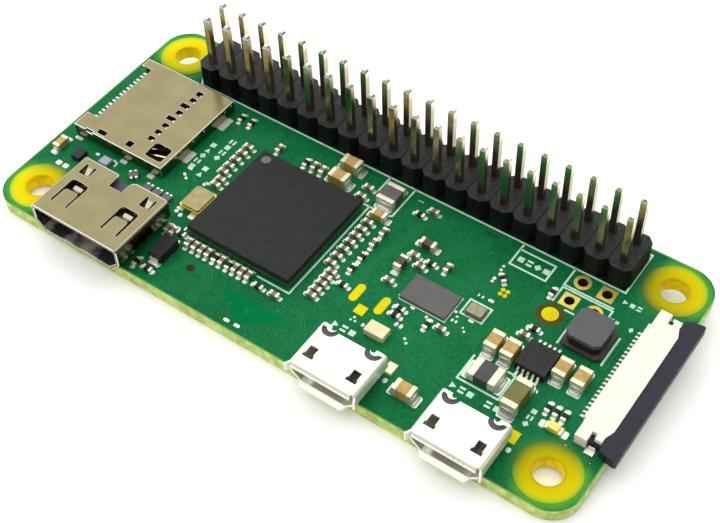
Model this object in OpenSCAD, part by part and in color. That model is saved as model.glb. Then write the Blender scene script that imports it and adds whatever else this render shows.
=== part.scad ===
// Small single board computer: a green board with a pin header, card slot,
// video socket, two small ports, a camera connector with a sliding latch, and chips.
// Sizes are millimetres. The origin is the centre of the four mounting holes on the
// board's underside; X runs along the board, Y towards the header, Z up.
// Positions inside the modules are measured from the board's front left corner
// and from its top face.

/* [Board] */
// Board length
board_l = 65; // [65:0.5:67]
// Board width
board_w = 30; // [30:0.25:31]
// Board thickness
board_t = 1.4; // [1.2:0.1:1.6]
// Board corner radius
corner_r = 3; // [2:0.5:3.5]
// Distance from a mounting hole's centre to the two nearest edges
hole_inset = 3.5; // [3.4:0.05:3.6]
// Mounting hole diameter
hole_d = 2.75; // [2.5:0.05:3]
// Outside diameter of the bare land round a mounting hole
land_d = 6; // [5:0.1:6]
// Diameter of the plated service holes
service_hole_d = 1; // [0.9:0.05:1.1]

/* [Pin header] */
// Height of the plastic strip
strip_h = 2.54; // [2:0.02:3]
// Height of the pin tips above the board
pin_top = 8.53; // [7:0.01:9]
// Length of the pin tails below the board
pin_tail = 1.6; // [1.2:0.1:2]

/* [Card slot] */
// Height of the card slot
slot_h = 1.5; // [1.4:0.05:1.6]

/* [Video socket] */
// Height of the top of the video socket above the board
video_top = 3.2; // [3:0.05:3.4]

/* [Ports] */
// Height of the top of the data and power ports
port_top = 2.6; // [2.5:0.05:2.8]

/* [Camera connector] */
// Height of the camera connector housing
camera_h = 1.2; // [1.15:0.05:1.4]

/* [Chips] */
// Side of the square memory and processor packages
package_l = 12; // [11.5:0.1:12]
// Height of the top of the memory package
package_top = 1.4; // [1.3:0.05:1.6]
// Side of the power inductor's base
coil_l = 4; // [3.8:0.1:4]
// Height of the power inductor
coil_h = 1.9; // [1.5:0.1:2.2]

/* [Hidden] */
$fn = 32;

pitch = 2.54;
pin_w = 0.64;
pin_hole_d = 1;
strip_cut = 0.62;
columns = 20;
header_y = 26.5;
land_t = 0.04;
sheet = 0.2;
cut = 0.01;

run_y = 22.69;
tv_y = 20.15;
service_x = [54.09, 56.63];

slot_x = 1.55;
slot_l = 11.55;
slot_y = 10.95;
slot_w = 11.7;
slot_wrap = 1.3;
card_contact_y = 13.7;
card_contact_pitch = 1.1;

video_x = 12.4;
video_w = 10.8;
video_y = -0.55;
video_l = 7.6;

data_x = 41.45;
power_x = 54;
port_w = 7;
port_y = -0.77;
port_l = 4.97;

camera_x = 61.75;
camera_l = 2.65;
camera_y = 15.13;
camera_w = 15.86;
camera_ways = 22;
camera_pitch = 0.5;

package_x = 26;
package_y = 12.8;
coil_x = 57.7;
coil_y = 17.3;

// Chip positions: x, y and turn about Z.
large_cap_places = [
  [51.1, 11.9, 90], [52.75, 11.9, 90], [57.55, 12.7, 90], [59.4, 12.7, 90],
  [47.4, 3.1, 0], [28.03, 22.6, 0], [28.03, 20.45, 0],
];
medium_cap_places = [
  [33.95, 18.75, 0], [1.45, 8.8, 90], [39, 15, 90], [39.9, 18.3, 0],
];
small_cap_places = [
  [20.8, 5.9, 90], [21.6, 5.9, 90], [22.4, 5.9, 90], [23.2, 5.9, 90], [24.85, 5.9, 90],
  [26.45, 5.9, 90], [27.25, 5.9, 90], [28.05, 5.9, 90], [31.4, 5.45, 0],
  [17.7, 19.1, 0], [17.7, 18.1, 0], [17.7, 17.05, 0], [17.7, 16, 0], [17.7, 15.05, 0],
  [18.15, 14.05, 0], [18.15, 13.2, 0],
  [20.4, 20.65, 90], [24.8, 20.65, 90], [25.8, 20.65, 90], [31, 21.3, 0], [31, 20, 0],
  [33.5, 17.55, 0], [33.5, 16.5, 0], [33.5, 15.55, 0], [33.5, 14.55, 0], [33.5, 13.55, 0],
  [33.5, 12.5, 0], [33.5, 11.5, 0],
  [34.2, 10.6, 0], [34.2, 9.8, 0], [34.2, 9, 0], [34.2, 8.15, 0], [34.2, 7.35, 0],
  [35.45, 17.3, 90], [35.45, 15.65, 90],
  [38.05, 22.2, 0], [39.5, 16.65, 0], [40.65, 15.75, 0], [42.9, 17, 90], [39.2, 12.75, 0],
  [46.2, 10.75, 0], [52.75, 14.4, 0], [17.9, 6.2, 90], [18.6, 6.2, 90],
];
small_res_places = [
  [24.05, 5.9, 90], [25.65, 5.9, 90], [29.5, 5.45, 0], [23.8, 20.65, 90],
  [35.45, 13.75, 90], [35.45, 12.1, 90], [35.9, 10, 0], [37.05, 21.2, 0], [41.3, 16.65, 0],
  [41.85, 10.65, 0], [41.85, 9.8, 0], [44.85, 10.5, 90], [47.75, 18.9, -45],
  [14.45, 22.05, 90], [15.75, 22.05, 90], [52.4, 20.05, 90], [53.15, 15.5, 0],
  [58.4, 8.9, 90], [59.2, 8.9, 90], [60, 8.9, 90],
  [19.4, 6.4, 0], [19.5, 1.3, 0], [18.1, 1.4, 90],
];
guard_places = [
  [12.85, 9.1, 0], [14.05, 9.1, 0], [15.25, 9.1, 0], [10.48, 9.65, 45],
];

// Moves board coordinates (front left corner, top face) to the shared frame.
module on_board() {
  translate([-board_l / 2, -board_w / 2, board_t]) children();
}

module at_each(places) {
  for (p = places) translate([p[0], p[1], 0]) rotate([0, 0, p[2]]) children();
}

module block(x, y, z, l, w, h) {
  translate([x, y, z]) cube([l, w, h]);
}

// A block standing on the board, centred on its own X and Y.
module chip(l, w, h, z = 0) {
  translate([-l / 2, -w / 2, z]) cube([l, w, h]);
}

// A disc or bore along Z.
module disc(x, y, z, d, h) {
  translate([x, y, z]) cylinder(h = h, d = d);
}

// A flat plate with round corners.
module round_plate(l, w, h, r) {
  union() {
    block(r, 0, 0, l - 2 * r, w, h);
    block(0, r, 0, l, w - 2 * r, h);
    for (x = [r, l - r]) for (y = [r, w - r]) disc(x, y, 0, 2 * r, h);
  }
}

// ---- Board ----

module hole_places() {
  for (x = [hole_inset, board_l - hole_inset])
    for (y = [hole_inset, board_w - hole_inset])
      translate([x, y, 0]) children();
}

module pin_places() {
  for (i = [0 : columns - 1]) for (side = [-0.5, 0.5])
    translate([32.5 + (i - (columns - 1) / 2) * pitch, header_y + side * pitch, 0]) children();
}

module service_places() {
  for (x = service_x) for (y = [run_y, tv_y]) translate([x, y, 0]) children();
}

module circuit_board() {
  color([0.06, 0.42, 0.2]) on_board() difference() {
    translate([0, 0, -board_t]) round_plate(board_l, board_w, board_t, corner_r);
    hole_places() disc(0, 0, -board_t - 1, hole_d, board_t + 2);
    pin_places() disc(0, 0, -board_t - 1, pin_hole_d, board_t + 2);
    service_places() disc(0, 0, -board_t - 1, service_hole_d, board_t + 2);
  }
}

module land_ring(d, hole) {
  difference() {
    cylinder(h = land_t, d = d);
    translate([0, 0, -1]) cylinder(h = 2, d = hole);
  }
}

module land_square(l, hole) {
  difference() {
    chip(l, l, land_t);
    translate([0, 0, -1]) cylinder(h = 2, d = hole);
  }
}

module both_faces() {
  children();
  translate([0, 0, -board_t - land_t]) children();
}

module mounting_lands() {
  color([0.9, 0.8, 0.1]) on_board() both_faces() hole_places() land_ring(land_d, hole_d);
}

module service_lands() {
  color([0.9, 0.82, 0.3]) on_board() both_faces() {
    translate([service_x[0], run_y, 0]) land_ring(1.7, service_hole_d);
    translate([service_x[1], run_y, 0]) land_square(1.6, service_hole_d);
    translate([service_x[0], tv_y, 0]) land_square(1.6, service_hole_d);
    translate([service_x[1], tv_y, 0]) land_ring(1.7, service_hole_d);
  }
}

module oval_pad(x, y) {
  translate([x, y, 0]) union() {
    chip(0.86, 1.34, land_t);
    for (s = [-0.67, 0.67]) disc(0, s, 0, 0.86, land_t);
  }
}

module bare_pads() {
  color([0.95, 0.88, 0.1]) on_board() {
    oval_pad(37.47, 10.1);
    oval_pad(40.27, 10.1);
    block(38.37, 8.07, 0, 1.04, 1.08, land_t);
    disc(53.4, 17.85, 0, 1.6, land_t);
    for (x = [48.43, 48.93]) for (y = [17.33, 17.87]) disc(x, y, 0, 0.44, land_t);
    for (port = [data_x, power_x]) translate([port + 3.33, 4.78, 0]) chip(0.95, 1.3, land_t);
  }
}

// ---- Pin header ----

module strip_outline() {
  translate([32.5 - columns * pitch / 2, header_y])
    for (i = [0 : columns - 1]) translate([i * pitch, 0]) polygon([
      [0, -pitch + strip_cut], [strip_cut, -pitch], [pitch - strip_cut, -pitch],
      [pitch, -pitch + strip_cut], [pitch, pitch - strip_cut], [pitch - strip_cut, pitch],
      [strip_cut, pitch], [0, pitch - strip_cut],
    ]);
}

module header_strip() {
  color([0.12, 0.12, 0.13]) on_board() difference() {
    linear_extrude(strip_h) strip_outline();
    pin_places() chip(pin_w, pin_w, strip_h + 2, -1);
  }
}

// A square pin with a short taper at each end.
module header_pin() {
  tip = 0.3;
  low = -board_t - pin_tail;
  union() {
    chip(pin_w, pin_w, pin_top - low - 2 * tip, low + tip);
    translate([0, 0, pin_top - tip]) rotate([0, 0, 45])
      cylinder(h = tip, d1 = pin_w * sqrt(2), d2 = 0.42, $fn = 4);
    translate([0, 0, low]) rotate([0, 0, 45])
      cylinder(h = tip, d1 = 0.42, d2 = pin_w * sqrt(2), $fn = 4);
  }
}

module header_pins() {
  color([0.85, 0.72, 0.35]) on_board() pin_places() header_pin();
}

module header_solder() {
  cone = 0.7;
  color([0.75, 0.76, 0.78]) on_board() pin_places() difference() {
    union() {
      disc(0, 0, -board_t, pin_hole_d, board_t);
      translate([0, 0, -board_t - cone]) cylinder(h = cone, d1 = 0.95, d2 = 1.7);
    }
    chip(pin_w, pin_w, 4, -3);
  }
}

// ---- Card slot ----

module card_window(x, y, l, w) {
  block(x - l / 2, y - w / 2, slot_h - 0.4, l, w, 1);
}

module card_slot_cover() {
  roof = 0.2;
  color([0.69, 0.65, 0.55]) on_board() difference() {
    union() {
      block(slot_x, slot_y, slot_h - slot_wrap, slot_l, slot_w, slot_wrap);
      for (y = [14, 19.6]) block(slot_x + slot_l - roof, y, 0, roof, 1.7, 0.5);
      for (x = [2.1, 8.2, 11.6]) block(x - 0.4, slot_y, 0, 0.8, roof, 0.5);
    }
    block(slot_x - 1, slot_y + roof, 0, slot_l + 1 - roof, slot_w - 2 * roof, slot_h - roof);
    block(slot_x - 1, 13, 0.5, 2.35, 8.5, 2);
    for (k = [0 : 7]) card_window(9.55, card_contact_y + k * card_contact_pitch, 0.75, 0.6);
    for (k = [3, 5]) card_window(9.15, card_contact_y + k * card_contact_pitch, 0.6, 0.6);
    card_window(8.25, 11.9, 0.75, 0.75);
    card_window(4.85, 11.55, 1.05, 0.6);
    block(3.05, slot_y - 1, slot_h - 0.3, 0.95, 1.25, 1);
    translate([10.4, 11.6, slot_h - 0.4]) round_plate(2.1, 2, 1, 0.35);
    for (y = [13.2, 15.9, 17.6, 20.9, 22]) block(12.7, y, 1.05, 1, 0.14, 0.26);
  }
}

module card_slot_base() {
  floor_t = 0.3;
  color([0.1, 0.1, 0.11]) on_board() difference() {
    union() {
      block(3.2, slot_y + 0.25, 0, 9.7, slot_w - 0.5, floor_t);
      block(slot_x + 0.2, slot_y + 0.23, 0, 11.1, 0.66, 1);
      block(slot_x + 0.2, slot_y + slot_w - 0.89, 0, 11.1, 0.66, 1);
      block(12.1, slot_y + 0.25, 0, 0.75, slot_w - 0.5, 0.98);
    }
    block(3.05, slot_y - 1, slot_h - 0.6, 0.95, 1.25, 1);
  }
}

// One sprung card contact: a tail on the board, a strip and a raised tip.
module card_contact() {
  w = 0.5;
  translate([0, w / 2, 0]) rotate([90, 0, 0]) linear_extrude(w) polygon([
    [1.75, 0], [3, 0], [3.1, 0.3], [8.9, 0.3], [9.5, 1.05], [9.95, 0.95],
    [9.98, 1.06], [9.5, 1.17], [8.85, 0.4], [3.02, 0.4], [2.92, 0.12], [1.75, 0.12],
  ]);
}

module card_slot_contacts() {
  color([0.85, 0.75, 0.45]) on_board()
    for (k = [0 : 7]) translate([0, card_contact_y + k * card_contact_pitch, 0]) card_contact();
}

module card_detect_springs() {
  color([0.85, 0.75, 0.45]) on_board() {
    translate([11, 12.6, 0.7]) rotate([0, 0, 18]) chip(2.1, 0.16, 0.12);
    translate([11, 13.57, 0.7]) rotate([0, 0, 28]) chip(2.1, 0.16, 0.12);
  }
}

// ---- Sockets ----

// A round-cornered outline, centred on X and standing on Y = 0.
module round_outline(l, h, r) {
  union() {
    translate([-l / 2 + r, 0]) square([l - 2 * r, h]);
    translate([-l / 2, r]) square([l, h - 2 * r]);
    for (x = [-l / 2 + r, l / 2 - r]) for (y = [r, h - r]) translate([x, y]) circle(r);
  }
}

// The outline with its two lower corners cut back.
module socket_outline(l, h, r, cut_x, cut_h) {
  difference() {
    round_outline(l, h, r);
    for (s = [-1, 1]) polygon([
      [s * (l / 2 + 1), -1], [s * (l / 2 - cut_x - 1), -1],
      [s * (l / 2 - cut_x), 0], [s * l / 2, cut_h], [s * (l / 2 + 1), cut_h],
    ]);
  }
}

// A profile drawn in X and Z, run along Y.
module along_y(y, l) {
  translate([0, y + l, 0]) rotate([90, 0, 0]) linear_extrude(l) children();
}

// A profile drawn in Y and Z, run along X and centred on it.
module along_x(w) {
  rotate([90, 0, 90]) translate([0, 0, -w / 2]) linear_extrude(w) children();
}

// The opening round a spring finger, rounded at its rear corners.
module finger_opening() {
  translate([0, 0, video_top - 0.5]) linear_extrude(1) union() {
    translate([-1.05, 0.95]) square([2.1, 2.85]);
    translate([-0.65, 3]) square([1.3, 1.2]);
    for (x = [-0.65, 0.65]) translate([x, 3.8]) circle(0.4);
  }
}

// A spring finger, rooted at its front end and bent down at its rear tip.
module finger() {
  top = video_top;
  intersection() {
    along_x(3) polygon([
      [0.8, top - 0.3], [0.8, top], [2.85, top], [3.4, top - 0.4], [3.85, top - 0.3],
      [3.9, top - 0.5], [3.4, top - 0.65], [2.75, top - 0.3],
    ]);
    translate([0, 0, top - 1]) linear_extrude(2) polygon([
      [-0.83, 0.7], [0.83, 0.7], [0.8, 2.6], [0.55, 3.2], [0.55, 4], [-0.55, 4], [-0.55, 3.2],
      [-0.8, 2.6],
    ]);
  }
}

// A small latching tab, rooted at its rear end and bent down at its front tip.
module tab() {
  top = video_top;
  intersection() {
    along_x(3) polygon([
      [6.5, top - 0.3], [6.5, top], [6.2, top], [5.3, top - 0.3], [5.3, top - 0.55],
      [6.15, top - 0.3],
    ]);
    translate([0, 0, top - 1]) linear_extrude(2)
      polygon([[-0.36, 6.6], [0.4, 6.6], [0.4, 6.2], [0.36, 5.2], [-0.12, 5.25], [-0.34, 6.2]]);
  }
}

// The part cut away where a notch's side at x is rounded off to meet a rear edge at y.
module rounded_side(x, y, r, s) {
  difference() {
    translate([s > 0 ? x : x - r, y - r]) square([r, r + 0.1]);
    translate([x + s * r, y - r]) circle(r);
  }
}

// The notch in the middle of the rear edge, more widely rounded on its right.
module rear_notch() {
  rear = video_y + video_l;
  translate([0, 0, video_top - 0.5]) linear_extrude(1) union() {
    translate([-0.75, 5.4]) square([1.61, 3]);
    rounded_side(-0.75, rear, 0.3, -1);
    rounded_side(0.86, rear, 0.7, 1);
  }
}

module video_shell() {
  wall = 0.3;
  tabs = [-3.82, 3.9];
  color([0.69, 0.65, 0.55]) on_board() translate([video_x, 0, 0]) union() {
    difference() {
      along_y(video_y, video_l) difference() {
        socket_outline(video_w, video_top, 0.4, 1.1, 1.2);
        translate([0, wall]) socket_outline(video_w - 2 * wall, video_top - 2 * wall, 0.2, 1, 1);
      }
      for (x = [-3.18, 3.18]) translate([x, 0, 0]) finger_opening();
      for (x = tabs) block(x - 0.62, 5.1, video_top - 0.5, 1.28, 1.3, 1);
      rear_notch();
    }
    for (x = [-3.18, 3.18]) translate([x, 0, 0]) finger();
    for (x = tabs) translate([x, 0, 0]) tab();
  }
}

module video_contact(i) {
  z = 1.55;
  low = i % 2 == 0;
  strip = low ? z - 0.1 : z + 0.65;
  along_x(0.2) polygon([
    [0.8, strip], [6.9, strip], [6.9, 0], [7.6, 0], [7.6, 0.1],
    [7, 0.1], [7, strip + 0.1], [0.8, strip + 0.1],
  ]);
}

module video_contact_row() {
  for (i = [0 : 18]) translate([(i - 9) * 0.4, 0, 0]) video_contact(i);
}

module video_insulator() {
  tongue_z = 1.55;
  color([0.22, 0.22, 0.26]) on_board() translate([video_x, 0, 0]) difference() {
    union() {
      block(-4, 0.5, tongue_z, 8, 5, 0.65);
      block(-4.05, 5, 0.32, 8.1, 1.88, 2.2);
    }
    video_contact_row();
  }
}

module video_contacts() {
  color([0.85, 0.75, 0.45]) on_board() translate([video_x, 0, 0]) video_contact_row();
}

// ---- Data and power ports ----

// The brow over the mouth of a port, which bends down at its front edge.
module port_brow(l) {
  along_x(l) polygon([
    [port_y + 0.02, port_top], [-0.92, port_top], [-1.12, 2.34], [-1.16, 2.08], [-1.03, 2.08],
    [-0.9, port_top - sheet], [port_y + 0.02, port_top - sheet],
  ]);
}

// The lower lip at the mouth of a port, which slopes down and narrows to the front.
module port_lip(root, tip) {
  intersection() {
    along_x(root) polygon([
      [port_y + 0.1, 0], [port_y + 0.1, sheet], [port_y, sheet], [-1.3, -0.02], [-1.26, -0.27],
      [port_y, 0],
    ]);
    translate([0, 0, -1]) linear_extrude(2) polygon([
      [-root / 2, 0], [root / 2, 0], [root / 2, port_y], [tip / 2, -1.4], [-tip / 2, -1.4],
      [-root / 2, port_y],
    ]);
  }
}

module port_shell(x) {
  color([0.88, 0.88, 0.86]) on_board() translate([x, 0, 0]) difference() {
    union() {
      along_y(port_y, port_l) difference() {
        socket_outline(port_w, port_top, 0.45, 1, 1);
        translate([0, sheet])
          socket_outline(port_w - 2 * sheet, port_top - 2 * sheet, 0.3, 0.95, 0.9);
      }
      port_brow(port_w - 0.75);
      port_lip(5.1, 4.3);
      for (s = [-1, 1]) translate([s * (port_w / 2 - 0.1), port_y + 0.05, 1.75])
        rotate([0, 0, s * 28]) translate([-0.1, -0.6, -0.5]) cube([sheet, 0.68, 1]);
    }
    for (s = [-1, 1]) translate([s * 2.3, 0, 0]) {
      translate([0, 3.87, port_top - 0.4]) difference() {
        cylinder(h = 1, d = 1.74);
        translate([0, 0.18, 0]) cylinder(h = 1, d = 0.96);
        translate([-1, 0, 0]) cube([2, 1, 1]);
      }
      disc(-0.2 * s, 4.05, port_top - 0.4, 0.5, 1);
      block(-0.2 * s - 0.25, 4.05, port_top - 0.4, 0.5, 1, 1);
      block(-0.42, 0.4, port_top - 0.4, 0.84, 1.1, 1);
      block(-0.55, 0.2, port_top - 0.4, 1.1, 0.4, 1);
    }
    block(-1.85, 3.8, port_top - 0.4, 3.7, 1, 1);
    block(-1.7, 3.85, -0.5, 3.4, 1, 1);
  }
}

module port_contact_row() {
  z = 1.35;
  for (i = [-2 : 2]) translate([i * 0.65, 0, 0]) along_x(0.25) polygon([
    [-0.1, z], [3.9, z], [3.9, 0], [4.6, 0], [4.6, 0.12], [4.02, 0.12], [4.02, z + 0.12],
    [-0.1, z + 0.12],
  ]);
}

module port_insulator(x) {
  color([0.12, 0.12, 0.13]) on_board() translate([x, 0, 0]) difference() {
    union() {
      block(-1.9, -0.3, 1.36, 3.8, 3.8, 0.6);
      block(-2.2, 3, sheet + 0.02, 4.4, 0.85, port_top - 2 * sheet - 0.04);
      block(-3.2, 2.7, 1.2, 6.4, 1.15, port_top - sheet - 1.22);
    }
    port_contact_row();
  }
}

module data_shell() {
  port_shell(data_x);
}

module data_insulator() {
  port_insulator(data_x);
}

module data_contacts() {
  color([0.85, 0.75, 0.45]) on_board() translate([data_x, 0, 0]) port_contact_row();
}

module power_shell() {
  port_shell(power_x);
}

module power_insulator() {
  port_insulator(power_x);
}

module power_contacts() {
  color([0.85, 0.75, 0.45]) on_board() translate([power_x, 0, 0]) port_contact_row();
}

// ---- Camera connector ----

// Both ends of the connector, mirrored about its middle.
module both_ends() {
  for (s = [-1, 1]) translate([camera_x, camera_y, 0]) scale([1, s, 1]) children();
}

module camera_housing() {
  half = camera_w / 2;
  color([0.95, 0.93, 0.85]) on_board() difference() {
    union() {
      block(camera_x, camera_y - half, 0, camera_l, camera_w, camera_h);
      block(camera_x - 0.2, camera_y - 5.9, 0, 0.3, 11.8, camera_h);
    }
    block(camera_x + 0.8, camera_y - 6.15, 0.25, 3, 12.3, 0.65);
    both_ends() {
      block(1.13, 7.05, -1, 3, 1, 1.75);
      block(1.13, 7.38, -1, 3, 1, 3);
      block(1.13, 6.8, -1, 0.47, 1.2, 3);
      block(1.13, 6.7, 0.15, 1.22, 1, 0.6);
      translate([0, 0, -1]) linear_extrude(3)
        polygon([[2.3, 6.8], [2.65, 5.9], [4, 5.9], [4, 9], [2.3, 9]]);
    }
    camera_contact_row();
  }
}

// One contact: a tail on the board and a beam inside the slot.
module camera_contact() {
  translate([camera_x, 0.11, 0]) rotate([90, 0, 0]) linear_extrude(0.22) polygon([
    [-0.75, 0], [-0.1, 0], [0.05, 0.25], [1.9, 0.25], [1.9, 0.33], [0, 0.33],
    [-0.15, 0.1], [-0.75, 0.1],
  ]);
}

module camera_contact_row() {
  for (i = [0 : camera_ways - 1])
    translate([0, camera_y + (i - (camera_ways - 1) / 2) * camera_pitch, 0]) camera_contact();
}

module camera_contacts() {
  color([0.8, 0.75, 0.6]) on_board() camera_contact_row();
}

module camera_anchors() {
  half = camera_w / 2;
  color([0.85, 0.86, 0.84]) on_board() both_ends() union() {
    block(1.2, half - 0.25, 0, 0.85, 0.72, 0.12);
    block(1.35, half - 0.25, 0, 0.6, 0.14, 0.4);
  }
}

// The latch: a bar across the slot's mouth, a wedge in the slot, and a hooked arm at each end.
module camera_latch() {
  half = camera_w / 2;
  gap = 0.03;
  bar_x = camera_l + gap;
  bar_h = camera_h - 0.2;
  color([0.22, 0.22, 0.26]) on_board() union() {
    block(camera_x + bar_x, camera_y - half, 0.1, 1.5, camera_w, bar_h);
    block(camera_x + 1.9, camera_y - 5.8, 0.55, bar_x - 1.8, 11.6, 0.25);
    both_ends() {
      translate([0, 0, 0.1]) linear_extrude(bar_h) polygon([
        [2.34, 6.92], [bar_x, 6.02], [bar_x + 0.2, 6.02], [bar_x + 1.5, 7.5],
        [bar_x + 1.5, 8.3], [bar_x + 1.3, 8.43], [bar_x + 0.3, 8.28], [2.42, 8.02],
      ]);
      block(1.18, 7.12, 0.25, bar_x - 1.1, 0.48, 0.45);
      block(1.18, 6.78, 0.25, 0.3, 0.4, 0.45);
    }
  }
}

// ---- Processor and memory ----

module memory_package() {
  color([0.2, 0.2, 0.21]) on_board() translate([package_x, package_y, 0])
    chip(package_l, package_l, package_top - 0.85, 0.85);
}

module processor_package() {
  color([0.16, 0.22, 0.16]) on_board() translate([package_x, package_y, 0])
    chip(package_l, package_l, 0.35, 0.25);
}

// The outer ring of balls under each package.
module package_balls() {
  step = 1.1;
  color([0.75, 0.76, 0.78]) on_board() translate([package_x, package_y, 0])
    for (z = [0, 0.6]) for (i = [-5 : 4]) for (turn = [0 : 90 : 270])
      rotate([0, 0, turn]) disc(i * step, 5 * step, z, 0.4, 0.25);
}

module wireless_chip() {
  color([0.42, 0.42, 0.43]) on_board() block(41, 11.75, 0, 4.9, 3.05, 0.4);
}

module wireless_filter() {
  color([0.92, 0.87, 0.75]) on_board() translate([41.65, 7.25, 0]) chip(2.05, 1.35, 0.7);
}

module main_crystal_case() {
  color([0.85, 0.75, 0.4]) on_board() translate([16.9, 9, 0]) round_plate(2.5, 3.05, 0.5, 0.3);
}

module main_crystal_lid() {
  color([0.7, 0.68, 0.6]) on_board() translate([17.05, 9.15, 0.5])
    round_plate(2.2, 2.75, 0.2, 0.3);
}

module wireless_crystal_case() {
  color([0.5, 0.45, 0.35]) on_board() translate([46.9, 13.5, 0]) round_plate(1.8, 1.4, 0.35, 0.15);
}

module wireless_crystal_lid() {
  color([0.8, 0.74, 0.6]) on_board() translate([47, 13.6, 0.35]) round_plate(1.6, 1.2, 0.15, 0.15);
}

// ---- Power parts ----

module cut_square(l, w, c, h, z) {
  translate([0, 0, z]) linear_extrude(h) polygon([
    [-l / 2 + c, -w / 2], [l / 2 - c, -w / 2], [l / 2, -w / 2 + c], [l / 2, w / 2 - c],
    [l / 2 - c, w / 2], [-l / 2 + c, w / 2], [-l / 2, w / 2 - c], [-l / 2, -w / 2 + c],
  ]);
}

// A drum: square foot, round post and a square cap with cut corners.
module coil_core() {
  color([0.4, 0.4, 0.41]) on_board() translate([coil_x, coil_y, 0]) union() {
    cut_square(coil_l, coil_l, 0.4, 0.4, 0.1);
    disc(0, 0, 0.4, 1.8, coil_h - 0.7);
    cut_square(coil_l - 0.5, coil_l - 0.4, 0.5, 0.45, coil_h - 0.45);
  }
}

module coil_winding() {
  color([0.15, 0.12, 0.1]) on_board() translate([coil_x, coil_y, 0]) difference() {
    cut_square(coil_l - 0.75, coil_l - 0.65, 0.45, coil_h - 0.95, 0.5);
    disc(0, 0, 0, 1.8, 3);
  }
}

module coil_terminals() {
  color([0.8, 0.8, 0.8]) on_board() for (s = [-1, 1])
    translate([coil_x + s * 1.35, coil_y, 0]) chip(1, 3.4, 0.1);
}

module power_chip() {
  color([0.14, 0.14, 0.15]) on_board() translate([55.2, 12.45, 0]) chip(3, 3, 0.85, 0.1);
}

module gull_lead(w) {
  along_x(w) polygon([
    [1.5, 0.4], [1.62, 0.4], [1.72, 0], [2.2, 0], [2.2, 0.13], [1.82, 0.13],
    [1.7, 0.53], [1.5, 0.53],
  ]);
}

module power_chip_leads() {
  color([0.8, 0.8, 0.8]) on_board() translate([55.2, 12.45, 0]) for (turn = [0, 180])
    rotate([0, 0, turn]) for (i = [-2 : 2]) translate([i * 0.5, 0, 0]) gull_lead(0.22);
}

// ---- Two-ended chips: a ceramic or resin middle between two metal ends ----

module chip_middle(l, w, h, end) {
  chip(l - 2 * end, w - 0.03, h - 0.02);
}

module chip_ends(l, w, h, end) {
  for (s = [-1, 1]) translate([s * (l - end) / 2, 0, 0]) chip(end, w, h);
}

module input_fuse() {
  color([0.3, 0.3, 0.32]) on_board() translate([52.25, 8.65, 0]) chip_middle(2.8, 2.1, 1, 0.7);
}

module input_fuse_ends() {
  color([0.9, 0.89, 0.84]) on_board() translate([52.25, 8.65, 0]) chip_ends(2.8, 2.1, 1, 0.7);
}

module bulk_capacitor() {
  color([0.5, 0.44, 0.25]) on_board() translate([55.72, 7.97, 0]) rotate([0, 0, 90])
    chip_middle(3.2, 1.55, 1.5, 0.55);
}

module bulk_capacitor_ends() {
  color([0.88, 0.84, 0.7]) on_board() translate([55.72, 7.97, 0]) rotate([0, 0, 90])
    chip_ends(3.2, 1.55, 1.5, 0.55);
}

module supply_capacitor() {
  color([0.42, 0.4, 0.42]) on_board() translate([33.5, 21.45, 0]) rotate([0, 0, 90])
    chip_middle(2.4, 1.95, 1, 0.5);
}

module supply_capacitor_ends() {
  color([0.88, 0.84, 0.75]) on_board() translate([33.5, 21.45, 0]) rotate([0, 0, 90])
    chip_ends(2.4, 1.95, 1, 0.5);
}

module large_capacitors() {
  color([0.75, 0.6, 0.35]) on_board() at_each(large_cap_places) chip_middle(2, 1.25, 1.25, 0.45);
}

module large_capacitor_ends() {
  color([0.9, 0.87, 0.72]) on_board() at_each(large_cap_places) chip_ends(2, 1.25, 1.25, 0.45);
}

module medium_capacitors() {
  color([0.75, 0.66, 0.4]) on_board() at_each(medium_cap_places) chip_middle(1.6, 0.8, 0.8, 0.35);
}

module medium_capacitor_ends() {
  color([0.9, 0.87, 0.72]) on_board() at_each(medium_cap_places) chip_ends(1.6, 0.8, 0.8, 0.35);
}

module small_capacitors() {
  color([0.65, 0.58, 0.45]) on_board() at_each(small_cap_places) chip_middle(1, 0.5, 0.5, 0.27);
}

module small_capacitor_ends() {
  color([0.9, 0.88, 0.8]) on_board() at_each(small_cap_places) chip_ends(1, 0.5, 0.5, 0.27);
}

module small_resistors() {
  color([0.1, 0.1, 0.1]) on_board() at_each(small_res_places) chip_middle(1, 0.5, 0.35, 0.25);
}

module small_resistor_ends() {
  color([0.9, 0.89, 0.85]) on_board() at_each(small_res_places) chip_ends(1, 0.5, 0.35, 0.25);
}

// ---- Other small packages ----

module load_switch() {
  color([0.2, 0.2, 0.22]) on_board() translate([4, 8.72, 0]) chip(1.05, 1.3, 0.5);
}

module diode_package() {
  color([0.14, 0.14, 0.15]) on_board() translate([19.45, 3.8, 0]) chip(1.6, 2.6, 1, 0.1);
}

module diode_leads() {
  color([0.85, 0.84, 0.78]) on_board() translate([19.45, 3.8, 0]) for (turn = [0, 180])
    rotate([0, 0, turn]) along_x(1) polygon([
      [1.3, 0.35], [1.4, 0.35], [1.45, 0], [1.85, 0], [1.85, 0.14], [1.55, 0.14],
      [1.5, 0.5], [1.3, 0.5],
    ]);
}

// Four arrays with terminals on their sides, and one whose terminals are underneath.
module guard_arrays() {
  color([0.45, 0.43, 0.46]) on_board() {
    at_each(guard_places) chip(0.98, 0.7, 0.4);
    translate([6.85, 9.5, 0]) chip(1.07, 0.97, 0.4);
  }
}

module guard_array_ends() {
  color([0.88, 0.88, 0.82]) on_board() at_each(guard_places)
    for (s = [-1, 1]) for (x = [-0.25, 0.25]) translate([x, s * 0.45, 0]) chip(0.28, 0.2, 0.4);
}

module status_light() {
  color([0.95, 0.88, 0.4]) on_board() translate([59.8, 7.35, 0]) chip_middle(1.6, 0.8, 0.6, 0.3);
}

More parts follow.
